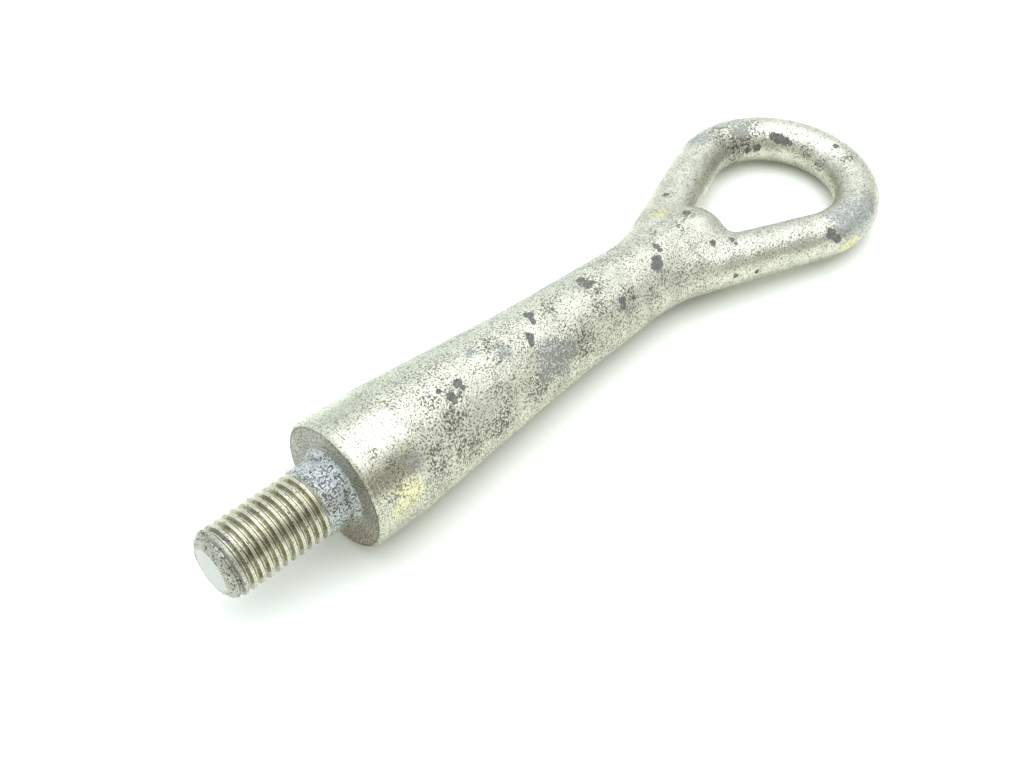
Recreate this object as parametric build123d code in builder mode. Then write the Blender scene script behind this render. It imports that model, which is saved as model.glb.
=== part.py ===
from build123d import *
import math
import os

# Screw-in tow eye, one piece of drop-forged steel.
# All sizes in millimetres. The pull axis is X: the thread points along -X and
# the loop lies flat in the XY plane. X = 0 is the face of the shoulder.

# Stud with its M16 x 2 thread
thread_pitch = 2.0
thread_crest_radius = 7.84
thread_root_radius = 6.72
thread_crest_flat = 0.42
thread_flank_angle = 30.0
thread_start_angle = 23.0
thread_lead_in = 1.3
thread_tip_x = -30.5
thread_end_x = -6.4
thread_runout = 1.1
ridge_fade = 0.4
ridge_sink = 0.12
tip_flat_radius = 5.5
tip_edge_radius = 6.9
tip_edge_length = 0.9
tip_chamfer_length = 2.6
cutter_margin = 2.0
neck_radius = 8.0
neck_fillet = 1.4

# Shoulder and shank
shoulder_radius = 15.2
shoulder_chamfer = 0.7
machined_length = 13.0
waist_x = 62.0
waist_radius = 11.3
nose_x = 124.6
nose_radius = 9.4

# Loop
bow_centre_x = 150.1
bow_radius = 21.7
bow_rod = 6.0
arm_apex_x = 91.1
arm_start_x = 70.0
arm_start_offset = 3.5
arm_flare_radius = 45.0
arm_rod = 6.6
crotch_fillet = 5.0
crotch_length = 5.0
crotch_half_widths = (3.0, 8.0)

# Arm centre line: parallel to the axis, one flare, then straight to the bow
arm_angle = math.asin(bow_radius / (bow_centre_x - arm_apex_x))
flare_end_y = arm_start_offset + arm_flare_radius * (1 - math.cos(arm_angle))
flare_end_x = arm_apex_x + flare_end_y / math.tan(arm_angle)
flare_start_x = flare_end_x - arm_flare_radius * math.sin(arm_angle)
tangent_x = bow_centre_x - bow_radius * math.sin(arm_angle)
tangent_y = bow_radius * math.cos(arm_angle)
arm_direction = (math.cos(arm_angle), math.sin(arm_angle))
arm_outward = (-math.sin(arm_angle), math.cos(arm_angle))

# The thread's ridge, a right-handed helix from before the tip into the neck
ridge_height = thread_crest_radius - thread_root_radius
ridge_slope = math.tan(math.radians(thread_flank_angle))
ridge_half_base = thread_crest_flat / 2 + (ridge_height + ridge_sink) * ridge_slope
ridge_start_x = thread_tip_x - thread_lead_in
ridge_line = Edge.make_helix(
    thread_pitch,
    thread_end_x + ridge_fade - ridge_start_x,
    thread_root_radius,
    center=(ridge_start_x, 0, 0),
    normal=(1, 0, 0),
)
with BuildPart() as ridge:
    with BuildSketch(Plane(ridge_line @ 0, x_dir=(1, 0, 0), z_dir=(0, -1, 0))):
        with BuildLine():
            Polyline(
                (-ridge_half_base, -ridge_sink),
                (ridge_half_base, -ridge_sink),
                (thread_crest_flat / 2, ridge_height),
                (-thread_crest_flat / 2, ridge_height),
                close=True,
            )
        make_face()
    sweep(path=Wire([ridge_line]), is_frenet=True)

# One arm and its half of the bow: straight, flare, tapered straight, arc
with BuildPart() as half_loop:
    with BuildSketch(Plane((arm_start_x, arm_start_offset), x_dir=(0, 1, 0), z_dir=(1, 0, 0))):
        Circle(arm_rod)
    extrude(amount=flare_start_x - arm_start_x)
    with BuildSketch(Plane((flare_start_x, arm_start_offset), x_dir=(0, 1, 0), z_dir=(1, 0, 0))):
        Circle(arm_rod)
    revolve(
        axis=Axis((flare_start_x, arm_start_offset + arm_flare_radius, 0), (0, 0, 1)),
        revolution_arc=math.degrees(arm_angle),
    )
    with BuildSketch(Plane((flare_end_x, flare_end_y), x_dir=arm_outward, z_dir=arm_direction)):
        Circle(arm_rod)
    with BuildSketch(Plane((tangent_x, tangent_y), x_dir=arm_outward, z_dir=arm_direction)):
        Circle(bow_rod)
    loft(ruled=True)
    with BuildSketch(Plane((bow_centre_x + bow_radius, 0), x_dir=(-1, 0, 0), z_dir=(0, 1, 0))):
        Circle(bow_rod)
    revolve(
        axis=Axis((bow_centre_x, 0, 0), (0, 0, 1)),
        revolution_arc=90 + math.degrees(arm_angle),
    )

with BuildPart() as tow_eye:
    # Thread core, neck, shoulder and shank as one turned form
    with BuildSketch(Plane.XZ):
        with BuildLine():
            Polyline(
                (thread_tip_x, 0),
                (thread_tip_x, thread_root_radius),
                (thread_end_x - thread_runout, thread_root_radius),
                (thread_end_x, neck_radius),
                (-neck_fillet, neck_radius),
            )
            RadiusArc((-neck_fillet, neck_radius), (0, neck_radius + neck_fillet), neck_fillet)
            Polyline(
                (0, neck_radius + neck_fillet),
                (0, shoulder_radius - shoulder_chamfer),
                (shoulder_chamfer, shoulder_radius),
                (machined_length, shoulder_radius),
                (waist_x, waist_radius),
                (nose_x - nose_radius, nose_radius),
                (nose_x - nose_radius, 0),
                (thread_tip_x, 0),
            )
        make_face()
    revolve(axis=Axis.X)

    # The shank's rounded nose in the crotch
    with Locations((nose_x - nose_radius, 0, 0)):
        Sphere(nose_radius, rotation=(90, 0, 0))

    add(ridge.part.rotate(Axis.X, thread_start_angle))

    # Everything before the tip and outside its chamfer comes off
    with BuildSketch(Plane.XZ):
        with BuildLine():
            Polyline(
                (thread_tip_x, 0),
                (thread_tip_x, tip_flat_radius),
                (thread_tip_x + tip_edge_length, tip_edge_radius),
                (thread_tip_x + tip_chamfer_length, thread_crest_radius + ridge_sink),
                (thread_tip_x + tip_chamfer_length, thread_crest_radius + cutter_margin),
                (ridge_start_x - cutter_margin, thread_crest_radius + cutter_margin),
                (ridge_start_x - cutter_margin, 0),
                close=True,
            )
        make_face()
    revolve(axis=Axis.X, mode=Mode.SUBTRACT)

    add(half_loop.part)
    add(half_loop.part.mirror(Plane.XZ))

    # The nose blends into both arms
    crotch_edges = tow_eye.edges().filter_by(
        lambda edge: nose_x - crotch_length < edge.center().X < nose_x
        and crotch_half_widths[0] < abs(edge.center().Y) < crotch_half_widths[1]
    )
    fillet(crotch_edges, radius=crotch_fillet)

os.makedirs("parts", exist_ok=True)
tow_eye.part.label = "tow_eye"
export_step(tow_eye.part, "parts/tow_eye.step")
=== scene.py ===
import math

import bmesh
import bpy
import numpy as np
from mathutils import Matrix, Vector
from mathutils import noise as solid_noise
from mathutils.bvhtree import BVHTree


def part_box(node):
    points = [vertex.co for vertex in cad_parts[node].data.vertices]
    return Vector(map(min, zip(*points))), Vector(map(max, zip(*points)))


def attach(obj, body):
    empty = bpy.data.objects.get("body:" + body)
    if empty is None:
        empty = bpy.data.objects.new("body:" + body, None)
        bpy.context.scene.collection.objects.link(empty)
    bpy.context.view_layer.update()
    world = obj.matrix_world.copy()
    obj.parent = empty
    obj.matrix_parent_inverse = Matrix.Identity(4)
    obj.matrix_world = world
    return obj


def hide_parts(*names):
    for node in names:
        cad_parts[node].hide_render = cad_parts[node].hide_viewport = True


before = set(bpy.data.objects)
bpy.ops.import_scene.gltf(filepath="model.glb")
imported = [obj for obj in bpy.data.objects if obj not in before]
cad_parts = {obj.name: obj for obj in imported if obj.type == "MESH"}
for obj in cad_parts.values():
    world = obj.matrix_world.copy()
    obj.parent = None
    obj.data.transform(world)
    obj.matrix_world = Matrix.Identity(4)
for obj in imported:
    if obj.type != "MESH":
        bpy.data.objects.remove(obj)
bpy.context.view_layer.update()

bl_info = {
    "name": "Screw-in tow eye",
    "version": (1, 0, 0),
    "blender": (4, 5, 0),
    "location": "3D View > Sidebar > Tow eye",
    "description": "Makes a plated, drop-forged tow eye with its stud, shoulder, shank and loop",
    "category": "Add Mesh",
}

MM = 0.001
NODE = "tow_eye"
PHOTO_SIZE = (1024, 768)
SEED = 11

# Marks on the plating: the middle of each in the photograph, and its radius in millimetres
CHIPS = (
    ((458, 383), 1.15), ((463, 387), 0.7), ((439, 391), 0.65), ((529, 315), 1.15), ((533, 321), 0.8),
    ((530, 336), 1.1), ((532, 344), 0.7), ((580, 279), 1.1), ((587, 284), 1.2), ((593, 282), 0.7),
    ((622, 300), 1.0), ((624, 306), 0.9), ((634, 298), 0.7), ((656, 246), 0.9), ((660, 250), 0.7),
    ((658, 261), 1.7), ((656, 267), 1.2), ((666, 194), 0.9), ((687, 212), 1.1), ((713, 244), 1.0),
    ((732, 239), 0.8), ((736, 243), 0.6), ((736, 276), 0.8), ((757, 272), 0.7), ((651, 289), 0.5),
    ((773, 136), 1.2), ((778, 139), 1.5), ((785, 142), 1.2), ((790, 144), 0.7), ((757, 148), 1.1),
    ((748, 150), 0.9), ((836, 146), 0.8), ((832, 234), 1.5), ((838, 239), 1.1), ((453, 397), 1.2),
)
PITTED = (
    ((453, 395), 2.6), ((430, 400), 2.0), ((495, 348), 3.6), ((455, 420), 3.0), ((548, 308), 1.8),
    ((600, 308), 2.4), ((592, 284), 3.4), ((628, 292), 2.0), ((740, 141), 5.6), ((722, 133), 4.0),
    ((756, 128), 2.6), ((806, 152), 2.0), ((820, 163), 1.8), ((848, 158), 1.6), ((682, 227), 1.6),
    ((653, 232), 1.2), ((690, 214), 2.0), ((392, 470), 2.4), ((396, 488), 2.6), ((372, 455), 1.8),
    ((440, 462), 3.4), ((470, 450), 4.0), ((500, 425), 3.4), ((540, 385), 3.0), ((585, 345), 3.2),
)
BLOOMS = (
    ((553, 352), 3.4), ((562, 362), 3.0), ((548, 372), 2.6), ((570, 350), 2.4), ((470, 352), 1.6),
    ((858, 214), 5.0), ((846, 222), 4.0), ((868, 204), 3.0), ((698, 138), 3.0), ((740, 130), 2.6),
    ((415, 462), 1.8), ((505, 352), 1.6),
)
YELLOWED = (
    ((411, 494), 3.4), ((402, 508), 2.2), ((850, 245), 3.2), ((820, 262), 3.0), ((660, 215), 2.4),
)


def lowest(box):
    return box[0]


def highest(box):
    return box[1]


NODE_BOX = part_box(NODE)


def size_setting(name, description, default):
    return bpy.props.FloatProperty(
        name=name, description=description, default=default, unit="LENGTH", precision=5,
    )


def colour_setting(name, description, default):
    return bpy.props.FloatVectorProperty(
        name=name, description=description, default=default, size=3, subtype="COLOR", min=0, max=1,
    )


class StudSizes(bpy.types.PropertyGroup):
    """Sizes of the threaded stud."""

    length: size_setting("Length", "From the tip to the shoulder's face", -lowest(NODE_BOX).x)
    pitch: size_setting("Pitch", "From one turn of the thread to the next", 2.0 * MM)
    crest_radius: size_setting("Crest radius", "Radius over the thread's crests", 7.84 * MM)
    root_radius: size_setting("Root radius", "Radius at the bottom of the thread", 6.72 * MM)
    neck_radius: size_setting("Neck radius", "Radius of the plain neck", 8.0 * MM)
    neck_length: size_setting("Neck length", "From the end of the thread to the shoulder's face", 6.4 * MM)
    neck_fillet: size_setting("Neck fillet", "Radius between the neck and the shoulder's face", 1.4 * MM)
    tip_radius: size_setting("Tip radius", "Radius of the flat on the stud's tip", 5.5 * MM)
    start_angle: bpy.props.FloatProperty(
        name="Start angle", description="Where the thread starts, turned about the pull axis",
        default=math.radians(23.0), subtype="ANGLE",
    )
    wear: size_setting("Wear", "How much the first turns are worn down", 0.16 * MM)


class ShoulderSizes(bpy.types.PropertyGroup):
    """Sizes of the turned shoulder."""

    radius: size_setting("Radius", "Outer radius of the shoulder", highest(NODE_BOX).z)
    chamfer: size_setting("Chamfer", "Chamfer round the rim", 0.7 * MM)
    length: size_setting("Turned length", "How far the turned surface reaches behind the face", 13.0 * MM)


class ForgingSizes(bpy.types.PropertyGroup):
    """Sizes of the forged shank and loop."""

    waist_x: size_setting("Waist place", "Where the shank's steep taper ends", 62.0 * MM)
    waist_radius: size_setting("Waist radius", "The shank's radius there", 11.3 * MM)
    nose_x: size_setting("Nose", "Where the shank's nose ends in the crotch", 124.6 * MM)
    nose_radius: size_setting("Nose radius", "Radius of the shank's rounded nose", 9.4 * MM)
    arm_start_offset: size_setting("Arm offset", "How far each arm starts beside the axis", 3.5 * MM)
    arm_rod: size_setting("Arm rod", "Radius of an arm where it leaves the shank", 6.6 * MM)
    bow_rod: size_setting("Bow rod", "Radius of the rod round the bow", 6.0 * MM)
    bow_radius: size_setting("Bow radius", "Radius of its centre line", highest(NODE_BOX).y - 6.0 * MM)
    flare_radius: size_setting("Flare radius", "Radius of the bend where an arm flares out", 45.0 * MM)
    apex_x: size_setting("Apex", "Where the arms' straight centre lines would meet", 91.1 * MM)
    mesh_step: size_setting("Mesh step", "Edge length of the forging's mesh", 0.46 * MM)


class FinishColours(bpy.types.PropertyGroup):
    """Colours of the plating and of what shows through it."""

    bright: colour_setting("Bright zinc", "Clean plating", (0.73, 0.72, 0.60))
    dull: colour_setting("Dull zinc", "Plating that has gone grey", (0.56, 0.56, 0.47))
    face: colour_setting("Shoulder's face", "Grey zinc on the shoulder's face", (0.50, 0.51, 0.50))
    tip: colour_setting("Tip", "The flat of the stud's tip", (0.56, 0.565, 0.54))
    # Painted reflection: the pale green tint painted on the shank's far side
    far_reflection_green: colour_setting("Greenish zinc", "Pale plating on the far side", (0.58, 0.67, 0.56))
    grain: colour_setting("Grain", "The fine grain, where the plating is thin", (0.27, 0.27, 0.215))
    speck: colour_setting("Specks", "Fine dark specks", (0.115, 0.115, 0.09))
    chip: colour_setting("Chips", "Dark scale where the plating has gone", (0.10, 0.107, 0.103))
    bloom: colour_setting("Bloom", "Blue-grey bloom on the plating", (0.45, 0.50, 0.53))
    yellow: colour_setting("Yellow tint", "Yellowish passivation in places", (0.80, 0.74, 0.36))
    olive: colour_setting("Olive tint", "Passivation on the thread's flanks", (0.36, 0.335, 0.22))
    worn: colour_setting("Worn zinc", "Worn plating on the first turns", (0.48, 0.485, 0.44))
    milk: colour_setting("White bloom", "White bloom on the neck and the tip", (0.60, 0.635, 0.63))
    copper: colour_setting("Reddish tint", "Reddish patch low on the shoulder's face", (0.62, 0.45, 0.40))


class StageSettings(bpy.types.PropertyGroup):
    """The camera, floor and light."""

    camera_place: bpy.props.FloatVectorProperty(
        name="Camera", description="Where the camera stands",
        default=(-0.0943, -0.13552, 0.20478), size=3, subtype="XYZ_LENGTH", precision=5,
    )
    camera_aim: bpy.props.FloatVectorProperty(
        name="Aim", description="The point in the middle of the picture",
        default=(0.04777, -0.00409, 0.0), size=3, subtype="XYZ_LENGTH", precision=5,
    )
    camera_roll: bpy.props.FloatProperty(
        name="Roll", description="How far the camera is rolled about its line of sight",
        default=math.radians(3.5), subtype="ANGLE",
    )
    lens: bpy.props.FloatProperty(
        name="Lens", description="Focal length on a 36 mm wide sensor, in millimetres",
        default=44.24, min=1, unit="CAMERA",
    )
    floor_colour: colour_setting("Floor", "Colour of the plain floor", (0.96, 0.98, 0.91))
    softbox_power: bpy.props.FloatProperty(
        name="Softbox", description="Power of the large light overhead, in watts",
        default=1.9, min=0, unit="POWER",
    )
    room_light: bpy.props.FloatProperty(
        name="Room light", description="Strength of the light from the room's walls and ceiling",
        default=1.2, min=0,
    )


# Node trees


class Value:
    """A number that a node tree works out, with the usual arithmetic."""

    def __init__(self, tree, socket):
        self.tree = tree
        self.socket = socket

    def math(self, operation, *others):
        return math_node(self.tree, operation, self, *others)

    def __add__(self, other):
        return self.math("ADD", other)

    def __sub__(self, other):
        return self.math("SUBTRACT", other)

    def __rsub__(self, other):
        return math_node(self.tree, "SUBTRACT", other, self)

    def __mul__(self, other):
        return self.math("MULTIPLY", other)

    def __truediv__(self, other):
        return self.math("DIVIDE", other)

    def __abs__(self):
        return self.math("ABSOLUTE")

    def __lt__(self, other):
        return self.math("LESS_THAN", other)

    def __gt__(self, other):
        return self.math("GREATER_THAN", other)

    def at_least(self, other):
        return self.math("MAXIMUM", other)

    def at_most(self, other):
        return self.math("MINIMUM", other)

    def ramp(self, low, high, to_low=0.0, to_high=1.0, smooth=False):
        """The value carried from low..high to to_low..to_high, and held there outside."""
        made = add_node(
            self.tree, "ShaderNodeMapRange",
            {"Value": self, "From Min": low, "From Max": high, "To Min": to_low, "To Max": to_high},
            interpolation_type="SMOOTHSTEP" if smooth else "LINEAR",
        )
        return Value(self.tree, made.outputs["Result"])


def add_node(tree, kind, inputs=None, **settings):
    """Adds a node; each of its inputs is a constant, or the Value or socket that feeds it."""
    made = tree.nodes.new(kind)
    for name, value in settings.items():
        setattr(made, name, value)
    for key, value in (inputs or {}).items():
        feed = value.socket if isinstance(value, Value) else value
        if isinstance(feed, bpy.types.NodeSocket):
            tree.links.new(feed, made.inputs[key])
        else:
            made.inputs[key].default_value = feed
    return made


def math_node(tree, operation, *values):
    made = add_node(tree, "ShaderNodeMath", dict(enumerate(values)), operation=operation)
    return Value(tree, made.outputs[0])


def colour(values):
    return (*values, 1.0)


def blend(tree, amount, first, second):
    """A mix of two colours, each of them a socket or three numbers."""
    inputs = {"Factor": amount, "A": first, "B": second}
    for side in ("A", "B"):
        if not isinstance(inputs[side], bpy.types.NodeSocket):
            inputs[side] = colour(inputs[side])
    return add_node(tree, "ShaderNodeMix", inputs, data_type="RGBA").outputs["Result"]


# The materials

# Where each finish, and the painted far-side reflection, starts or ends along the pull axis, in millimetres:
# from here to there it fades
TURNED_END = (11.0, 15.0)
FAR_REFLECTION_END = (75.0, 100.0)
LOOP_START = (96.0, 118.0)
FACE_END = (0.02, 0.10)
NECK_START = (-7.3, -6.6)
WORN_TURNS_END = (-28.6, -25.2)
TIP_FLAT_END = (-30.45, -30.38)

# The same outwards from the axis
THREAD_CREST = (7.64, 7.76)
TIP_SHINE_END = (4.6, 5.3)
RIM_LINE_RADIUS = 14.2


class Surface:
    """One material on the object's own coordinates, in millimetres."""

    def __init__(self, name):
        self.material = bpy.data.materials.new(name)
        self.material.use_nodes = True
        self.tree = self.material.node_tree
        self.shader = self.tree.nodes["Principled BSDF"]
        place = add_node(self.tree, "ShaderNodeTexCoord").outputs["Object"]
        scaled = add_node(self.tree, "ShaderNodeVectorMath", {0: place, "Scale": 1 / MM}, operation="SCALE")
        self.place = scaled.outputs[0]
        axes = add_node(self.tree, "ShaderNodeSeparateXYZ", {0: self.place})
        self.x, self.y, self.z = (Value(self.tree, socket) for socket in axes.outputs)
        self.radius = (self.y * self.y + self.z * self.z).math("SQRT")

    def noise(self, size, detail=3.0, roughness=0.55):
        """Noise whose lumps are about size millimetres across, from 0 to 1."""
        made = add_node(
            self.tree, "ShaderNodeTexNoise",
            {"Vector": self.place, "Scale": 1 / size, "Detail": detail, "Roughness": roughness},
        )
        return Value(self.tree, made.outputs["Fac"])

    def rings(self, along):
        """The fine rings that a turning tool leaves, one after another along a line, from 0 to 1."""
        made = add_node(
            self.tree, "ShaderNodeTexNoise",
            {"Scale": 2.6, "Detail": 2.0, "Roughness": 0.7, "W": along}, noise_dimensions="1D",
        )
        return Value(self.tree, made.outputs["Fac"])

    def attribute(self, name):
        made = add_node(self.tree, "ShaderNodeAttribute", attribute_name=name)
        return Value(self.tree, made.outputs["Fac"])

    def blend(self, amount, first, second):
        return blend(self.tree, amount, first, second)

    def bump(self, height, distance, normal=None):
        inputs = {"Height": height, "Distance": distance * MM, "Strength": 1.0}
        if normal is not None:
            inputs["Normal"] = normal
        return add_node(self.tree, "ShaderNodeBump", inputs).outputs["Normal"]

    def finish(self, base, roughness, metallic, normal):
        links, inputs = self.tree.links, self.shader.inputs
        links.new(base, inputs["Base Color"])
        links.new(roughness.socket, inputs["Roughness"])
        links.new(metallic.socket, inputs["Metallic"])
        links.new(normal, inputs["Normal"])
        return self.material


def ragged(surface, size, amount):
    """Fine noise round zero that roughens the edge of a mark."""
    return (surface.noise(size, 3.0, 0.65) - 0.5) * amount


def closeness(surface, field, spread, edge):
    """1 within a mark and 0 well outside it, with a ragged edge."""
    value = surface.attribute(field) + edge
    return value.ramp(1.0 - spread, 1.0 + spread, to_low=1.0, to_high=0.0, smooth=True)


def specks_over(surface, size, edge):
    """Fine specks, wherever noise of this size rises over the edge."""
    over = surface.noise(size, detail=2.0, roughness=0.6) - edge
    return over.ramp(0.0, 0.045)


def worm_marks(surface, size, level, width):
    """Small rings and worm-like lines, the outlines of pits in the plating."""
    off = abs(surface.noise(size, 2.0, 0.5) - level)
    return off.ramp(width * 0.5, width, to_low=1.0, to_high=0.0)


def plated_forging(colours):
    surface = Surface("plated_forging")
    tone = surface.noise(5.0, detail=4.0, roughness=0.65)
    edge = ragged(surface, 0.7, 1.5)
    chip = closeness(surface, "chip_field", 0.05, edge)
    pitted = closeness(surface, "pit_field", 0.45, edge * 1.4)
    bloom = closeness(surface, "bloom_field", 0.35, edge * 1.6)
    yellowed = closeness(surface, "yellow_field", 0.5, edge)
    turned = surface.x.ramp(*TURNED_END, to_low=1.0, to_high=0.0, smooth=True)
    face = surface.x.ramp(*FACE_END, to_low=1.0, to_high=0.0)
    # Painted reflection: the shank's far side is tinted pale green, as if it mirrored the far side of the
    # room, and its grains are a little fainter there
    painted_far_reflection = (surface.y + tone * 6.0).ramp(3.0, 9.0, smooth=True)
    painted_far_reflection = painted_far_reflection * surface.x.ramp(*FAR_REFLECTION_END, to_low=1.0, to_high=0.0)

    loop = surface.x.ramp(*LOOP_START, smooth=True)
    # Painted highlight: fewer dark grains on the side that faces up and towards the camera, where the
    # softbox's highlight falls
    upward = surface.z * 0.95 - surface.y * 0.31
    painted_top_highlight = (upward / surface.radius).ramp(0.9, 1.0, smooth=True)

    # How thick the grains and specks lie, from place to place
    zones = surface.noise(6.0, detail=4.0, roughness=0.65).ramp(0.32, 0.58, to_low=0.59, to_high=0.525)
    # The painted top highlight thins the grains there
    zones = zones + turned * 0.018 - face * 0.09 - bloom * 0.08 + painted_top_highlight * 0.035
    grain = surface.noise(0.4, detail=0.6, roughness=0.5) - zones
    grain = grain.ramp(0.0, 0.05)
    zones = zones + 0.075 - pitted * 0.11
    specks = specks_over(surface, 0.55, zones)
    worms = worm_marks(surface, 1.15, 0.585, 0.026) * zones.ramp(0.57, 0.62, to_low=1.0, to_high=0.0)
    dark = specks.at_least(worms)
    strength = 1.0 - painted_far_reflection * 0.15
    grain = grain * (1.0 - loop * 0.4)

    base = surface.blend(tone.ramp(0.36, 0.66), colours.bright, colours.dull)
    # The painted far-side reflection, mixed into the base colour
    base = surface.blend(painted_far_reflection * 0.28, base, colours.far_reflection_green)
    base = surface.blend(yellowed * 0.62, base, colours.yellow)
    low = surface.z + surface.y + edge * 4.0
    face_tint = surface.blend(low.ramp(-17.0, -10.5), colours.copper, colours.face)
    base = surface.blend(face * 0.9, base, face_tint)
    base = surface.blend(bloom * 0.68, base, colours.bloom)
    base = surface.blend(grain * strength, base, colours.grain)
    speck_tone = surface.blend(bloom, colours.speck, colours.grain)
    base = surface.blend(dark * strength * 0.9, base, speck_tone)
    rim_line = abs(surface.radius - RIM_LINE_RADIUS).ramp(0.07, 0.2, to_low=0.85, to_high=0.0)
    base = surface.blend(rim_line * face, base, colours.speck)
    chip_tone = surface.noise(0.55, detail=3.0).ramp(0.42, 0.64, to_high=0.65)
    base = surface.blend(chip, base, surface.blend(chip_tone, colours.chip, colours.grain))

    rings = surface.rings(surface.x + surface.radius * 1.7)
    groove = rings.ramp(0.4, 0.62) * turned
    base = surface.blend(groove * 0.4, base, colours.olive)

    rough = tone.ramp(0.35, 0.7, to_low=0.46, to_high=0.58)
    rough = rough - turned * 0.32 - loop * 0.17 + dark.at_least(grain) * 0.14 + face * 0.22
    rough = rough.at_least(chip * 0.6)
    metallic = chip.ramp(0.0, 1.0, to_low=1.0, to_high=0.3)
    metallic = metallic.at_most(bloom.ramp(0.0, 1.0, to_low=1.0, to_high=0.6))

    normal = surface.bump(rings * turned, 0.1)
    forged = 1.0 - turned * 0.9 - loop * 0.4
    normal = surface.bump(surface.noise(2.2, 2.0, 0.5) * forged, 0.05, normal)
    normal = surface.bump(surface.noise(0.42, 1.0, 0.5) * forged, 0.22, normal)
    normal = surface.bump(dark.at_least(chip), -0.045, normal)
    return surface.finish(base, rough, metallic, normal)


def plated_thread(colours):
    surface = Surface("plated_thread")
    tone = surface.noise(2.2, detail=4.0, roughness=0.65)
    edge = ragged(surface, 0.7, 1.0)
    # Where the crests lie, for the painted highlight along them
    crest = (surface.radius + edge * 0.06).ramp(*THREAD_CREST)
    worn = (surface.x + edge * 4.0).ramp(*WORN_TURNS_END, to_low=1.0, to_high=0.0, smooth=True)
    tip = surface.x.ramp(*TIP_FLAT_END, to_low=1.0, to_high=0.0)
    inner = (surface.radius + edge * 1.4).ramp(*TIP_SHINE_END, to_low=1.0, to_high=0.0)
    tip = tip * inner
    neck = surface.x.ramp(*NECK_START)
    milky = surface.noise(2.6, detail=4.0, roughness=0.7).ramp(0.34, 0.52)
    milky = milky * neck * surface.z.ramp(-4.5, 0.5)

    zones = surface.noise(3.0, detail=3.0, roughness=0.6).ramp(0.35, 0.65, to_low=0.68, to_high=0.6)
    zones = zones - worn * 0.075 - neck * 0.115 + tip * 0.14
    dark = specks_over(surface, 0.6, zones).at_least(specks_over(surface, 0.3, zones))

    base = surface.blend(tone.ramp(0.36, 0.66), colours.olive, colours.dull)
    # Painted highlight: the thread's crests are painted in bright zinc, lighter than the olive flanks and
    # roots
    base = surface.blend(crest * 0.8, base, colours.bright)
    base = surface.blend(worn * 0.7, base, colours.worn)
    base = surface.blend(tip * 0.9, base, colours.tip)
    base = surface.blend(neck * 0.6, base, colours.dull)
    base = surface.blend(milky, base, colours.milk)
    speck_tone = surface.blend(neck, colours.speck, colours.chip)
    base = surface.blend(dark * 0.92, base, speck_tone)

    rough = tone.ramp(0.35, 0.7, to_low=0.2, to_high=0.32)
    rough = rough + worn.at_least(neck) * 0.2 + dark * 0.15
    metallic = milky.at_least(tip).ramp(0.0, 1.0, to_low=1.0, to_high=0.35)
    normal = surface.bump(surface.noise(0.7, 3.0), 0.025)
    normal = surface.bump(dark, -0.035, normal)
    return surface.finish(base, rough, metallic, normal)


def material(name):
    """The named material, made when it's first asked for."""
    makers = {"plated_forging": plated_forging, "plated_thread": plated_thread}
    return bpy.data.materials.get(name) or makers[name](bpy.context.scene.tow_eye_colours)


# Meshes


def dress(name, mesh, material_name):
    """A finished piece that stands for the forging's node."""
    piece = bpy.data.objects.new(name, mesh)
    bpy.context.scene.collection.objects.link(piece)
    mesh.materials.clear()
    mesh.materials.append(material(material_name))
    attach(piece, "root")
    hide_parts(NODE)
    return piece


def evaluated_mesh(holder):
    """The holder's mesh with its modifiers applied; the holder is removed."""
    graph = bpy.context.evaluated_depsgraph_get()
    mesh = bpy.data.meshes.new_from_object(holder.evaluated_get(graph))
    source = holder.data
    bpy.data.objects.remove(holder)
    bpy.data.meshes.remove(source)
    return mesh


def coordinates(mesh):
    places = np.empty(len(mesh.vertices) * 3)
    mesh.vertices.foreach_get("co", places)
    return places.reshape(-1, 3)


def outward(mesh):
    """Points every face of a closed shell outwards and shades it smooth."""
    shell = bmesh.new()
    shell.from_mesh(mesh)
    bmesh.ops.recalc_face_normals(shell, faces=shell.faces)
    if shell.calc_volume(signed=True) < 0:
        bmesh.ops.reverse_faces(shell, faces=shell.faces)
    shell.to_mesh(mesh)
    shell.free()
    mesh.polygons.foreach_set("use_smooth", [True] * len(mesh.polygons))
    mesh.update()


def lumps(places, size, seed):
    """Noise at each place, about -1 to 1, with lumps about size across."""
    shift = Vector((seed * 7.3, seed * 3.1, seed * 5.7))
    return np.array([solid_noise.noise(Vector(p) / size + shift) for p in places])


def steps(value, low, high):
    share = np.clip((value - low) / (high - low), 0, 1)
    return share * share * (3 - 2 * share)


# The forged shank and loop

# The turned shoulder and the forging run into each other in a shallow lap before the shank's taper
JOINT_BACK = 5.0 * MM
JOINT_RAMP = 1.5 * MM
JOINT_SINK = 0.02 * MM
JOINT_STEP = 0.4 * MM

# The forging's cut end, inside the shoulder
CUT_EDGE = 0.2 * MM
CUT_SHRINK = 0.96


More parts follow.
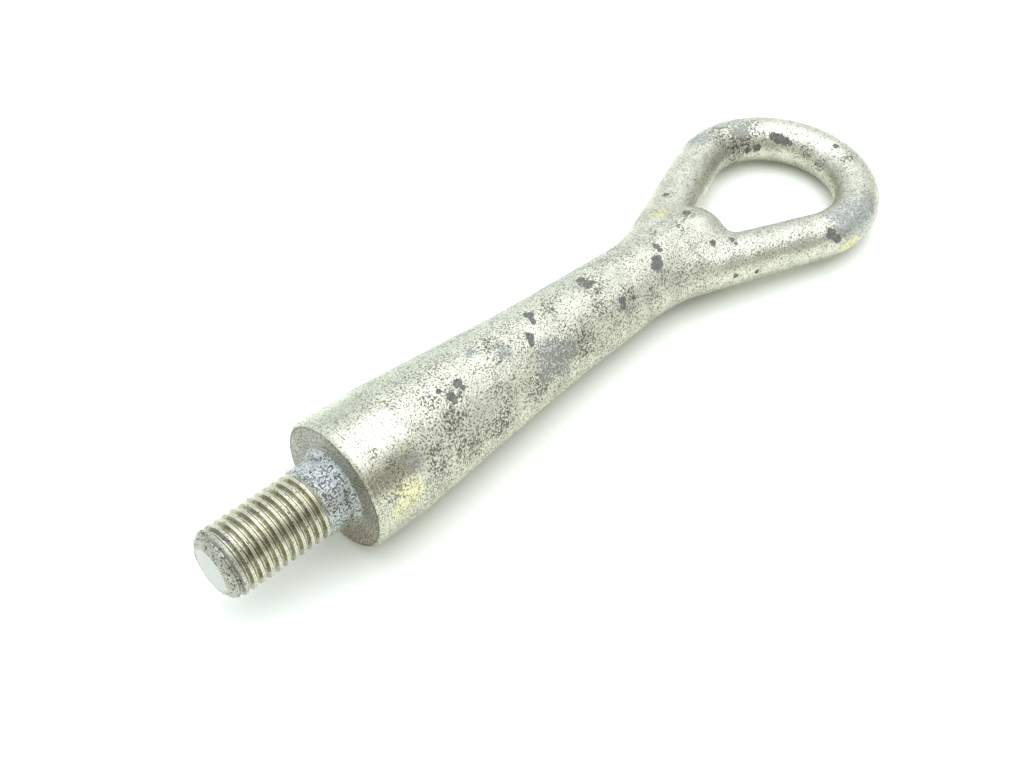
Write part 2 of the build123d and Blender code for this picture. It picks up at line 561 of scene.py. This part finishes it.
class ForgedForm:
    """Distance in metres from a point to the surface of the shank and its loop."""

    blend_narrow = 1.0 * MM
    blend_wide = 3.6 * MM
    waist_blend = 9.0 * MM
    arm_start_x = 70.0 * MM
    crotch_start = 92.0 * MM
    crotch_end = 112.0 * MM
    longest_step = 0.6 * MM

    def __init__(self, sizes, shoulder):
        self.sizes = sizes
        self.shoulder = shoulder
        self.bow_x = highest(NODE_BOX).x - sizes.bow_rod - sizes.bow_radius
        self.angle = math.asin(sizes.bow_radius / (self.bow_x - sizes.apex_x))
        self.flare_end_y = sizes.arm_start_offset + sizes.flare_radius * (1 - math.cos(self.angle))
        self.flare_end_x = sizes.apex_x + self.flare_end_y / math.tan(self.angle)
        self.flare_start_x = self.flare_end_x - sizes.flare_radius * math.sin(self.angle)
        tangent_x = self.bow_x - sizes.bow_radius * math.sin(self.angle)
        self.arm_length = (tangent_x - self.flare_end_x) / math.cos(self.angle)
        self.nose_centre_x = sizes.nose_x - sizes.nose_radius

    def shank_radius(self, x):
        sizes, shoulder = self.sizes, self.shoulder
        places = (shoulder.length, sizes.waist_x, self.nose_centre_x)
        radii = (shoulder.radius, sizes.waist_radius, sizes.nose_radius)
        reach = self.waist_blend * np.clip((x - shoulder.length) / self.waist_blend, 0, 1)
        spread = (-1.0, -0.5, 0.0, 0.5, 1.0)
        return sum(np.interp(x + reach * share, places, radii) for share in spread) / len(spread)

    def shank(self, x, y, z):
        past = np.maximum(x - self.nose_centre_x, 0)
        return np.sqrt(past**2 + y**2 + z**2) - self.shank_radius(x)

    def arms(self, x, y, z):
        sizes = self.sizes
        y = np.abs(y)
        nearest = np.clip(x, self.arm_start_x, self.flare_start_x)
        start = np.sqrt((x - nearest) ** 2 + (y - sizes.arm_start_offset) ** 2 + z**2) - sizes.arm_rod
        along = x - self.flare_start_x
        across = sizes.arm_start_offset + sizes.flare_radius - y
        turn = np.arctan2(along, across)
        flare = np.sqrt((np.hypot(along, across) - sizes.flare_radius) ** 2 + z**2) - sizes.arm_rod
        flare = np.where((turn >= 0) & (turn <= self.angle), flare, np.inf)
        run_x = x - self.flare_end_x
        run_y = y - self.flare_end_y
        length = np.clip(run_x * math.cos(self.angle) + run_y * math.sin(self.angle), 0, self.arm_length)
        rod = sizes.arm_rod + (sizes.bow_rod - sizes.arm_rod) * length / self.arm_length
        off_x = run_x - length * math.cos(self.angle)
        off_y = run_y - length * math.sin(self.angle)
        straight = np.sqrt(off_x**2 + off_y**2 + z**2) - rod
        turn = np.arctan2(y, x - self.bow_x)
        bow = np.sqrt((np.hypot(x - self.bow_x, y) - sizes.bow_radius) ** 2 + z**2) - sizes.bow_rod
        bow = np.where(turn <= math.pi / 2 + self.angle, bow, np.inf)
        return np.minimum(np.minimum(start, flare), np.minimum(straight, bow))

    def distance(self, places):
        x, y, z = places.T
        shank = self.shank(x, y, z)
        arms = self.arms(x, y, z)
        wide = steps(x, self.crotch_start, self.crotch_end)
        reach = self.blend_narrow + (self.blend_wide - self.blend_narrow) * wide
        share = np.maximum(reach - np.abs(shank - arms), 0) / reach
        return np.minimum(shank, arms) - share**2 * reach / 4

    def slope(self, places):
        """The direction in which the distance grows, at each place."""
        step = 0.02 * MM
        parts = []
        for axis in range(3):
            shift = np.zeros(3)
            shift[axis] = step
            parts.append((self.distance(places + shift) - self.distance(places - shift)) / (2 * step))
        slopes = np.stack(parts, axis=1)
        return slopes / np.maximum(np.linalg.norm(slopes, axis=1, keepdims=True), 1e-6)

    def settle(self, places, movable):
        """Moves the movable places onto the surface."""
        for _ in range(4):
            step = np.clip(self.distance(places), -self.longest_step, self.longest_step)
            places = places - np.where(movable, step, 0)[:, None] * self.slope(places)
        return places


def forging_start(sizes, shoulder):
    """An evenly meshed copy of the node's shank and loop, cut off under the turned shoulder."""
    shell = bmesh.new()
    shell.from_mesh(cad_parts[NODE].data)
    bmesh.ops.remove_doubles(shell, verts=shell.verts, dist=1e-6)
    cut = bmesh.ops.bisect_plane(
        shell, geom=[*shell.verts, *shell.edges, *shell.faces], dist=1e-7,
        plane_co=(shoulder.length - JOINT_BACK, 0, 0), plane_no=(-1, 0, 0), clear_outer=True,
    )
    edges = [part for part in cut["geom_cut"] if isinstance(part, bmesh.types.BMEdge)]
    bmesh.ops.contextual_create(shell, geom=edges)
    mesh = bpy.data.meshes.new("forging_start")
    shell.to_mesh(mesh)
    shell.free()
    holder = bpy.data.objects.new("forging_start", mesh)
    bpy.context.scene.collection.objects.link(holder)
    even = holder.modifiers.new("even mesh", "REMESH")
    even.mode = "VOXEL"
    even.voxel_size = sizes.mesh_step
    return evaluated_mesh(holder)


def relaxed(mesh, places, turns):
    """The places evened out along the mesh's edges."""
    edges = np.empty(len(mesh.edges) * 2, int)
    mesh.edges.foreach_get("vertices", edges)
    ends = edges.reshape(-1, 2)
    count = np.bincount(ends.ravel(), minlength=len(places))[:, None]
    for _ in range(turns):
        total = np.zeros_like(places)
        for axis in range(3):
            total[:, axis] = np.bincount(ends[:, 0], places[ends[:, 1], axis], len(places))
            total[:, axis] += np.bincount(ends[:, 1], places[ends[:, 0], axis], len(places))
        places = places + 0.5 * (total / count - places)
    return places


def photo_rays(spots):
    """The lines of sight through the spots of the photograph."""
    camera = photo_camera_matrix()
    pixels = bpy.context.scene.tow_eye_stage.lens / 36 * PHOTO_SIZE[0]
    turn = camera.to_3x3()
    for across, down in spots:
        sight = Vector((across - PHOTO_SIZE[0] / 2, PHOTO_SIZE[1] / 2 - down, -pixels))
        yield camera.translation, (turn @ sight).normalized()


HIDDEN_MARKS_START = 16 * MM
SHARE_FROM_BELOW = 0.6


def hidden_rays(count, seed):
    """Lines from below and from the far side, spread at random over the object's length."""
    chance = np.random.default_rng(seed)
    reach = highest(NODE_BOX)
    for _ in range(count):
        x = chance.uniform(HIDDEN_MARKS_START, reach.x)
        aside = chance.uniform(-1, 1)
        if chance.random() < SHARE_FROM_BELOW:
            yield Vector((x, aside * reach.y, -reach.x)), Vector((0, 0, 1))
        else:
            yield Vector((x, reach.x, aside * reach.z)), Vector((0, -1, 0))


def marked_places(marks, hidden, seed):
    """Where the photograph's marks and some on the hidden sides lie on the part, with radii in metres."""
    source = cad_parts[NODE].data
    corners = [vertex.co for vertex in source.vertices]
    tree = BVHTree.FromPolygons(corners, [tuple(face.vertices) for face in source.polygons])
    found = []
    for (start, sight), (_, radius) in zip(photo_rays(spot for spot, _ in marks), marks):
        place, _, _, _ = tree.ray_cast(start, sight)
        if place is not None:
            found.append((np.array(place), radius * MM))
    eye = photo_camera_matrix().translation
    count, small, large = hidden
    sizes = np.random.default_rng(seed).uniform(small, large, count)
    for (start, way), radius in zip(hidden_rays(count, seed + 1), sizes):
        place, outside, _, _ = tree.ray_cast(start, way)
        if place is not None and outside.dot(eye - place) < 0:
            found.append((np.array(place), radius * MM))
    return found


# How far a mark's ragged edge goes in and out, as a share of its radius, and how long its wiggles are
RAGGED_EDGE = ((0.30, 1.5 * MM), (0.22, 0.7 * MM))


def nearness(places, marks, seed):
    """How near each place is to a mark: 0 in its middle, 1 at its ragged edge, more outside."""
    near = np.full(len(places), 4.0)
    for place, radius in marks:
        near = np.minimum(near, np.linalg.norm(places - place, axis=1) / radius)
    close = near < 3.0
    near[close] += sum(
        share * lumps(places[close], size, seed + order) for order, (share, size) in enumerate(RAGGED_EDGE)
    )
    return near


# Each kind of mark: the photograph's, then how many on the hidden sides and their least and largest radius
MARKS = {
    "chip_field": (CHIPS, (34, 0.7, 1.7)),
    "pit_field": (PITTED, (26, 2.0, 5.0)),
    "bloom_field": (BLOOMS, (9, 2.5, 5.0)),
    "yellow_field": (YELLOWED, (6, 2.0, 4.0)),
}


def mark(mesh, places):
    """Stores how near each vertex is to each kind of mark."""
    for order, (name, (marks, hidden)) in enumerate(MARKS.items()):
        values = nearness(places, marked_places(marks, hidden, SEED + 10 * order), SEED + 3 * order)
        layer = mesh.attributes.new(name, "FLOAT", "POINT")
        layer.data.foreach_set("value", values.astype(np.float32))


# The waves that forging leaves, as height and length, and the depth of pits and chips
WAVES = ((0.05 * MM, 11 * MM), (0.03 * MM, 3.2 * MM))
PIT_DEPTH = 0.09 * MM
PIT_SIZE = 1.9 * MM
CHIP_DEPTH = 0.13 * MM


def make_forging(sizes, shoulder):
    form = ForgedForm(sizes, shoulder)
    mesh = forging_start(sizes, shoulder)
    places = coordinates(mesh)
    start = shoulder.length - JOINT_BACK
    movable = places[:, 0] > start + CUT_EDGE
    places = form.settle(places, movable)
    places = np.where(movable[:, None], relaxed(mesh, places, 3), places)
    places = form.settle(places, movable)
    mark(mesh, places)

    chips = np.empty(len(places), np.float32)
    mesh.attributes["chip_field"].data.foreach_get("value", chips)
    depth = np.zeros(len(places))
    for order, (height, size) in enumerate(WAVES):
        depth += height * (1 + lumps(places, size, SEED + 8 + order))
    depth += PIT_DEPTH * steps(lumps(places, PIT_SIZE, SEED + 10), 0.25, 0.7)
    depth += CHIP_DEPTH * steps(1.05 - chips, 0.0, 0.35)
    depth *= steps(places[:, 0], shoulder.length, shoulder.length + 4 * MM)
    depth += JOINT_SINK * (1 - np.clip((places[:, 0] - start - JOINT_RAMP) / JOINT_RAMP, 0, 1))
    depth += JOINT_STEP * (1 - steps(places[:, 0], start + CUT_EDGE, start + JOINT_RAMP))
    places = places - form.slope(places) * np.where(movable, depth, 0.0)[:, None]
    places = np.where(movable[:, None], places, places * np.array([1, CUT_SHRINK, CUT_SHRINK]))
    mesh.vertices.foreach_set("co", places.ravel())
    outward(mesh)
    return dress("forged_shank_and_loop", mesh, "plated_forging")


# The turned shoulder


def turned_shell(name, outline, around):
    """A closed shell turned about X from an outline of (x, radius) that starts and ends on the axis."""
    shell = bmesh.new()
    rings = []
    for x, radius in outline[1:-1]:
        angles = (2 * math.pi * step / around for step in range(around))
        rings.append([shell.verts.new((x, radius * math.sin(a), radius * math.cos(a))) for a in angles])
    first = shell.verts.new((outline[0][0], 0, 0))
    last = shell.verts.new((outline[-1][0], 0, 0))
    for step in range(around):
        after = (step + 1) % around
        shell.faces.new((first, rings[0][step], rings[0][after]))
        shell.faces.new((last, rings[-1][after], rings[-1][step]))
        for ring, following in zip(rings, rings[1:]):
            shell.faces.new((ring[step], following[step], following[after], ring[after]))
    mesh = bpy.data.meshes.new(name)
    shell.to_mesh(mesh)
    shell.free()
    outward(mesh)
    return mesh


# The points round the shoulder and along its face, side and lap, and how soft its edges are
POINTS_ROUND = 360
FACE_RINGS = 30
SIDE_RINGS = 18
LAP_RINGS = 4
EDGE_SOFTNESS = 0.12 * MM

# The nicks round the rim, and where they fade out, inwards from it and along the side
NICK_DEPTH = 0.14 * MM
NICK_SIZE = 2.3 * MM
NICKS_INWARD = (0.2 * MM, 1.0 * MM)
NICKS_BACK = (1.0 * MM, 2.2 * MM)


def make_shoulder(sizes):
    edge = EDGE_SOFTNESS
    inner = sizes.radius - sizes.chamfer
    outline = [(0, 0)]
    outline += [(0, inner * share / FACE_RINGS) for share in range(1, FACE_RINGS)]
    outline += [(0, inner - edge), (edge * 0.3, inner), (edge, inner + edge)]
    outline += [(sizes.chamfer - edge, sizes.radius - edge), (sizes.chamfer, sizes.radius - edge * 0.3)]
    outline += [(sizes.chamfer + edge, sizes.radius)]
    lap = sizes.length - JOINT_BACK + JOINT_RAMP
    run = lap - sizes.chamfer - edge
    for share in range(1, SIDE_RINGS + 1):
        outline.append((sizes.chamfer + edge + run * share / SIDE_RINGS, sizes.radius))
    for share in range(1, LAP_RINGS + 1):
        outline.append((lap + JOINT_RAMP * share / LAP_RINGS, sizes.radius - JOINT_SINK * share / LAP_RINGS))
    outline += [(sizes.length, inside) for inside in (sizes.radius - JOINT_STEP, sizes.radius / 2, 0)]
    mesh = turned_shell("turned_shoulder", outline, POINTS_ROUND)
    places = coordinates(mesh)
    mark(mesh, places)
    radius = np.hypot(places[:, 1], places[:, 2])
    rim = 1 - steps(np.abs(radius - sizes.radius), *NICKS_INWARD)
    rim *= 1 - steps(places[:, 0], *NICKS_BACK)
    nicks = NICK_DEPTH * steps(lumps(places, NICK_SIZE, SEED + 20), 0.15, 0.7) * rim
    places[:, 1:] *= (1 - nicks / np.maximum(radius, MM))[:, None]
    mesh.vertices.foreach_set("co", places.ravel())
    mesh.set_sharp_from_angle(angle=math.radians(60))
    return dress("turned_shoulder", mesh, "plated_forging")


# The threaded stud


def stud_tree(sizes):
    """Geometry nodes that wind the stud's skin along the thread's helix, from tip to neck."""
    tree = bpy.data.node_groups.new("threaded_stud", "GeometryNodeTree")
    tree.is_modifier = True
    face = tree.interface
    face.new_socket("Geometry", in_out="INPUT", socket_type="NodeSocketGeometry")
    lengths = {
        "Length": sizes.length, "Pitch": sizes.pitch, "Wear": sizes.wear,
        "Crest Radius": sizes.crest_radius, "Root Radius": sizes.root_radius,
        "Neck Radius": sizes.neck_radius, "Neck Length": sizes.neck_length,
        "Neck Fillet": sizes.neck_fillet, "Tip Radius": sizes.tip_radius,
    }
    for name, value in lengths.items():
        made = face.new_socket(name, in_out="INPUT", socket_type="NodeSocketFloat")
        made.subtype = "DISTANCE"
        made.default_value = value
    angle = face.new_socket("Start Angle", in_out="INPUT", socket_type="NodeSocketFloat")
    angle.subtype = "ANGLE"
    around = face.new_socket("Points Around", in_out="INPUT", socket_type="NodeSocketInt")
    around.default_value = 128
    per_turn = face.new_socket("Rows Per Turn", in_out="INPUT", socket_type="NodeSocketInt")
    per_turn.default_value = 20
    skin = face.new_socket("Material", in_out="INPUT", socket_type="NodeSocketMaterial")
    face.new_socket("Geometry", in_out="OUTPUT", socket_type="NodeSocketGeometry")

    inputs = tree.nodes.new("NodeGroupInput").outputs
    given = {socket.name: Value(tree, socket) for socket in inputs}
    result = tree.nodes.new("NodeGroupOutput")

    # Rows run along the helix, so each turn's edges lie on the mesh's own edges
    tip_run = 6.0 * MM
    end_run = 6.0 * MM
    path = given["Length"] + (tip_run + end_run)
    turns = (path / given["Pitch"] + 1.0).math("CEIL")
    rows = turns * given["Rows Per Turn"]
    grid = add_node(
        tree, "GeometryNodeMeshGrid",
        {"Size X": rows, "Size Y": given["Points Around"],
         "Vertices X": rows + 1.0, "Vertices Y": given["Points Around"] + 1.0},
    )
    spot = add_node(tree, "GeometryNodeInputPosition").outputs[0]
    axes = add_node(tree, "ShaderNodeSeparateXYZ", {0: spot}).outputs
    row = Value(tree, axes[0]) + rows / 2.0
    share = Value(tree, axes[1]) / given["Points Around"] + 0.5
    angle_now = share * (2 * math.pi)
    travel = row / given["Rows Per Turn"] + (share - 1.0)
    travel = travel * given["Pitch"] - tip_run

    # The thread's form across one turn, 0 at the root and 1 on the crest
    lead = 1.3 * MM
    whole_turns_and_half = 20.5
    phase = (travel + lead) / given["Pitch"]
    phase = phase - (angle_now - given["Start Angle"]) / (2 * math.pi)
    phase = (phase + whole_turns_and_half).math("FRACT")
    form = add_node(tree, "ShaderNodeFloatCurve", {"Value": phase})
    curve = form.mapping.curves[0]
    outline = (
        (0.0, 0.0), (0.06, 0.0), (0.12, 0.07), (0.33, 0.86), (0.355, 0.95), (0.39, 1.0), (0.44, 0.99),
        (0.475, 0.90), (0.5, 0.86), (0.525, 0.90), (0.56, 0.99), (0.61, 1.0), (0.645, 0.95), (0.67, 0.86),
        (0.88, 0.07), (0.94, 0.0), (1.0, 0.0),
    )
    for place, height in outline[1:-1]:
        curve.points.new(place, height)
    for point, (place, height) in zip(curve.points, outline):
        point.location = (place, height)
        point.handle_type = "VECTOR"
    form.mapping.update()
    ridge = Value(tree, form.outputs[0]) * (given["Crest Radius"] - given["Root Radius"])
    thread = ridge + given["Root Radius"]

    # Wear and small dents
    around_axis = 8.0
    where = add_node(tree, "ShaderNodeCombineXYZ", {
        0: travel * (1 / MM),
        1: angle_now.math("SINE") * around_axis,
        2: angle_now.math("COSINE") * around_axis,
    })
    dents = add_node(
        tree, "ShaderNodeTexNoise",
        {"Vector": where.outputs[0], "W": float(SEED), "Scale": 0.55, "Detail": 3.0, "Roughness": 0.6},
        noise_dimensions="4D",
    ).outputs["Fac"]
    dented = Value(tree, dents).ramp(0.45, 0.72)
    full_wear_end = 2.5 * MM
    light_wear_start = 9.0 * MM
    light_wear = 0.22
    near_tip = travel.ramp(full_wear_end, light_wear_start, 1.0, light_wear)
    worn = dented * near_tip * given["Wear"]
    thread = thread.at_most(given["Crest Radius"] - worn)

    # The tip's two chamfers, the plain neck and its fillet
    steep = 1.4 / 0.9
    shallow = 1.06 / 1.7
    shallow_rise = 0.84 * MM
    tip_rise = given["Tip Radius"] + travel * steep
    tip_slope = given["Tip Radius"] + (travel * shallow + shallow_rise)
    radius = thread.at_most(tip_rise.at_most(tip_slope))
    neck_start = given["Length"] - given["Neck Length"]
    runout = 1.1 * MM
    past_tip = 4.0 * MM
    neck = travel.ramp(neck_start - runout, neck_start, given["Root Radius"], given["Neck Radius"])
    radius = radius.at_least(neck * (travel > past_tip))
    fillet_start = given["Length"] - given["Neck Fillet"]
    bend = (travel - fillet_start) / given["Neck Fillet"]
    bend = bend.at_least(0.0).at_most(math.pi / 2)
    flare = (1.0 - bend.math("COSINE")) * given["Neck Fillet"]
    radius = radius + flare

    # The skin closes on the axis, at one end behind the shoulder's face and at the other in the tip
    closing_start = 1.5 * MM
    closing_run = 3.5 * MM
    tip_pole = 0.2 * MM
    inside = given["Length"] + closing_start
    radius = radius * travel.ramp(inside, inside + closing_run, 1.0, 0.0)
    disc = travel.ramp(-tip_run + tip_pole, 0.0, 0.0, 1.0)
    radius = radius.at_least(0.0) * disc
    on_tip = travel < 0.0
    flat = disc * given["Tip Radius"] * on_tip
    radius = flat + radius * (1.0 - on_tip)

    advance = travel.at_least(0.0).at_most(fillet_start)
    advance = advance + bend.math("SINE") * given["Neck Fillet"]
    sink_start = 0.9 * MM
    sink_depth = 1.0 * MM
    sunk = travel - (given["Length"] + sink_start)
    advance = advance + sunk.at_least(0.0).at_most(sink_depth)
    x = advance - given["Length"]
    y = angle_now.math("SINE") * radius * -1.0
    z = angle_now.math("COSINE") * radius
    there = add_node(tree, "ShaderNodeCombineXYZ", {0: x, 1: y, 2: z})
    same_point = 0.004 * MM
    skin_steps = (
        ("GeometryNodeSetPosition", {"Position": there.outputs[0]}),
        ("GeometryNodeMergeByDistance", {"Distance": same_point}),
        ("GeometryNodeRealizeInstances", {}),
        ("GeometryNodeSetMaterial", {"Material": given["Material"]}),
    )
    made = grid.outputs["Mesh"]
    for kind, inputs in skin_steps:
        made = add_node(tree, kind, {"Geometry": made, **inputs}).outputs[0]
    tree.links.new(made, result.inputs[0])
    return tree, {"angle": angle.identifier, "skin": skin.identifier}


def make_stud(sizes):
    tree, names = stud_tree(sizes)
    holder = bpy.data.objects.new("stud_holder", bpy.data.meshes.new("stud_holder"))
    bpy.context.scene.collection.objects.link(holder)
    winding = holder.modifiers.new("threaded stud", "NODES")
    winding.node_group = tree
    winding[names["angle"]] = sizes.start_angle
    winding[names["skin"]] = material("plated_thread")
    mesh = evaluated_mesh(holder)
    mesh.name = "threaded_stud"
    outward(mesh)
    mesh.set_sharp_from_angle(angle=math.radians(50))
    return dress("threaded_stud", mesh, "plated_thread")


# The stage

# The room's light, from straight below, 0, over the horizon, 0.5, to straight above, 1
NEAR_SHADES = (
    (0.40, (0.62, 0.62, 0.58)), (0.50, (0.50, 0.49, 0.45)), (0.62, (0.36, 0.355, 0.32)),
    (0.74, (0.42, 0.42, 0.38)), (0.84, (0.93, 0.95, 0.97)), (0.93, (1.42, 1.50, 1.64)),
)
FAR_SHADES = (
    (0.40, (0.85, 0.90, 0.90)), (0.50, (0.81, 0.88, 0.89)), (0.62, (0.80, 0.87, 0.89)),
    (0.74, (0.91, 0.98, 1.02)), (0.84, (1.09, 1.14, 1.21)), (0.93, (1.42, 1.50, 1.64)),
)


def photo_camera_matrix():
    stage = bpy.context.scene.tow_eye_stage
    place = Vector(stage.camera_place)
    sight = (Vector(stage.camera_aim) - place).normalized()
    level = sight.cross(Vector((0, 0, 1))).normalized()
    above = level.cross(sight)
    roll = stage.camera_roll
    right = level * math.cos(roll) + above * math.sin(roll)
    up = right.cross(sight)
    matrix = Matrix((right, up, -sight)).transposed().to_4x4()
    matrix.translation = place
    return matrix


# The floor lies this far under the solid, because the finished meshes bulge a hair past its facets
FLOOR_GAP = 0.03 * MM


def resting_plane(places):
    """The tilt about Y and the height at the origin of the floor that the object lies on."""
    middle = places[:, 0].mean()
    low, high = 0.0, math.radians(10)
    for _ in range(40):
        tilt = (low + high) / 2
        heights = places[:, 2] * math.cos(tilt) - places[:, 0] * math.sin(tilt)
        if places[heights.argmin(), 0] < middle:
            low = tilt
        else:
            high = tilt
    return tilt, heights.min()


def make_floor(settings):
    tilt, height = resting_plane(coordinates(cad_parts[NODE].data))
    half = 2.5
    corners = [(-half, -half, 0), (half, -half, 0), (half, half, 0), (-half, half, 0)]
    mesh = bpy.data.meshes.new("floor")
    mesh.from_pydata(corners, [], [(0, 1, 2, 3)])
    turn = Matrix.Rotation(-tilt, 4, "Y")
    mesh.transform(turn @ Matrix.Translation((0, 0, height - FLOOR_GAP)))
    floor = bpy.data.objects.new("floor", mesh)
    bpy.context.scene.collection.objects.link(floor)
    skin = bpy.data.materials.new("plain_floor")
    skin.use_nodes = True
    shader = skin.node_tree.nodes["Principled BSDF"]
    shader.inputs["Base Color"].default_value = colour(settings.floor_colour)
    shader.inputs["Roughness"].default_value = 0.9
    shader.inputs["Specular IOR Level"].default_value = 0.2
    mesh.materials.append(skin)


def shades_by_height(tree, height, stops):
    """A colour ramp from straight below, 0, to straight above, 1."""
    made = add_node(tree, "ShaderNodeValToRGB", {"Fac": height})
    spots = made.color_ramp.elements
    for spot, (place, shade) in zip((spots[0], spots[-1]), (stops[0], stops[-1])):
        spot.position = place
        spot.color = colour(shade)
    for place, shade in stops[1:-1]:
        spots.new(place).color = colour(shade)
    return made.outputs["Color"]


def make_room_light(settings):
    """Soft light from all round: bright overhead and on the far side, dimmer behind the camera."""
    world = bpy.data.worlds.new("studio")
    bpy.context.scene.world = world
    world.use_nodes = True
    tree = world.node_tree
    tree.nodes.clear()
    way = add_node(tree, "ShaderNodeTexCoord").outputs["Generated"]
    axes = add_node(tree, "ShaderNodeSeparateXYZ", {0: way})
    height = Value(tree, axes.outputs["Z"]).ramp(-1.0, 1.0)
    near = shades_by_height(tree, height, NEAR_SHADES)
    far = shades_by_height(tree, height, FAR_SHADES)
    side = Value(tree, axes.outputs["Y"]).ramp(-0.55, 0.45, smooth=True)
    shade = blend(tree, side, near, far)
    shine = add_node(tree, "ShaderNodeBackground", {"Color": shade, "Strength": settings.room_light})
    out = add_node(tree, "ShaderNodeOutputWorld")
    tree.links.new(shine.outputs[0], out.inputs["Surface"])


# The softbox over the shank, in metres
SOFTBOX_SIZE = (0.8, 0.6)
SOFTBOX_PLACE = (0.16, -0.02, 0.7)
SOFTBOX_AIM = (0.07, 0.0, 0.0)


def make_softbox(settings):
    light = bpy.data.lights.new("softbox", "AREA")
    light.shape = "RECTANGLE"
    light.size, light.size_y = SOFTBOX_SIZE
    light.energy = settings.softbox_power
    box = bpy.data.objects.new("softbox", light)
    box.location = SOFTBOX_PLACE
    aim = Vector(SOFTBOX_AIM) - box.location
    box.rotation_euler = aim.to_track_quat("-Z", "Y").to_euler()
    bpy.context.scene.collection.objects.link(box)


def make_camera(settings):
    lens = bpy.data.cameras.new("photo_camera")
    lens.lens = settings.lens
    lens.sensor_width = 36
    lens.sensor_fit = "HORIZONTAL"
    lens.clip_start = 0.01
    camera = bpy.data.objects.new("photo_camera", lens)
    camera.matrix_world = photo_camera_matrix()
    bpy.context.scene.collection.objects.link(camera)
    bpy.context.scene.camera = camera
    bpy.context.scene.view_settings.view_transform = "Standard"


# The operators


class MakeForging(bpy.types.Operator):
    """Makes the forged shank and loop"""

    bl_idname = "tow_eye.make_forging"
    bl_label = "Forged shank and loop"

    def execute(self, context):
        make_forging(context.scene.tow_eye_forging, context.scene.tow_eye_shoulder)
        return {"FINISHED"}


class MakeShoulder(bpy.types.Operator):
    """Makes the turned shoulder"""

    bl_idname = "tow_eye.make_shoulder"
    bl_label = "Turned shoulder"

    def execute(self, context):
        make_shoulder(context.scene.tow_eye_shoulder)
        return {"FINISHED"}


class MakeStud(bpy.types.Operator):
    """Makes the threaded stud"""

    bl_idname = "tow_eye.make_stud"
    bl_label = "Threaded stud"

    def execute(self, context):
        make_stud(context.scene.tow_eye_stud)
        return {"FINISHED"}


class MakeStage(bpy.types.Operator):
    """Makes the floor, the light and the camera"""

    bl_idname = "tow_eye.make_stage"
    bl_label = "Stage"

    def execute(self, context):
        settings = context.scene.tow_eye_stage
        make_camera(settings)
        make_floor(settings)
        make_room_light(settings)
        make_softbox(settings)
        return {"FINISHED"}


OPERATORS = (MakeForging, MakeShoulder, MakeStud, MakeStage)


class TowEyePanel(bpy.types.Panel):
    """Lists the pieces of the tow eye"""

    bl_idname = "VIEW3D_PT_tow_eye"
    bl_label = "Tow eye"
    bl_space_type = "VIEW_3D"
    bl_region_type = "UI"
    bl_category = "Tow eye"

    def draw(self, context):
        for operator in OPERATORS:
            self.layout.operator(operator.bl_idname)


GROUPS = {
    "tow_eye_stud": StudSizes,
    "tow_eye_shoulder": ShoulderSizes,
    "tow_eye_forging": ForgingSizes,
    "tow_eye_colours": FinishColours,
    "tow_eye_stage": StageSettings,
}


def register():
    for kind in (*GROUPS.values(), *OPERATORS, TowEyePanel):
        bpy.utils.register_class(kind)
    for name, kind in GROUPS.items():
        setattr(bpy.types.Scene, name, bpy.props.PointerProperty(type=kind))


def unregister():
    for name in GROUPS:
        delattr(bpy.types.Scene, name)
    for kind in reversed((*GROUPS.values(), *OPERATORS, TowEyePanel)):
        bpy.utils.unregister_class(kind)


def main():
    register()
    bpy.ops.tow_eye.make_forging()
    bpy.ops.tow_eye.make_shoulder()
    bpy.ops.tow_eye.make_stud()
    bpy.ops.tow_eye.make_stage()


if __name__ == "__main__":
    main()
